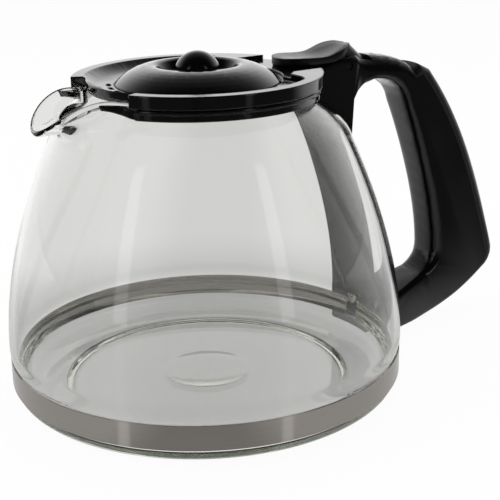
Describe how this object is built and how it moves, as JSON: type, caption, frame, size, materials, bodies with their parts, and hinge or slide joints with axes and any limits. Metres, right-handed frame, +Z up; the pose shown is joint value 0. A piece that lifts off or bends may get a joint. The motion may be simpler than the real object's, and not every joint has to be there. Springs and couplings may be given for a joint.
{
  "type": "coffee server carafe",
  "caption": "Wide glass coffee server with a drooping spout, a hinged black lid with a thumb lever, a looped handle and a steel clamp band.",
  "frame": {"origin": "centre of the flat foot ring under the jug, on the jug's axis", "axes": "+Z up along the jug's axis; +X towards the handle, so the spout lies at -X; the lid's hinge pin lies along Y"},
  "size_m": [0.2199, 0.1502, 0.1292],
  "materials": {
    "clear_glass": "clear blown borosilicate glass, faint green where thick",
    "band_steel": "cold rolled stainless strip, satin",
    "fastener_steel": "bright zinc plated",
    "gloss_black": "polished moulded polypropylene",
    "matte_black": "fine spark-eroded moulded grain",
    "pin_steel": "blackened steel pin"
  },
  "bodies": {
    "server": {"glass_jug": "clear_glass", "steel_band": "band_steel", "clamp_screw": "fastener_steel", "clamp_nut": "fastener_steel", "neck_collar": "gloss_black", "handle_frame": "matte_black", "handle_cover": "gloss_black", "hinge_pin": "pin_steel"},
    "lid_set": {"lid": "gloss_black", "lid_dome": "gloss_black", "drip_knob": "gloss_black", "thumb_lever": "gloss_black"}
  },
  "joints": [
    {"name": "lid_hinge", "type": "hinge", "parent": "server", "child": "lid_set", "pos_m": [0.0634, 0, 0.1177], "axis": [0, 1, 0], "range_deg": [0, 60]}
  ]
}
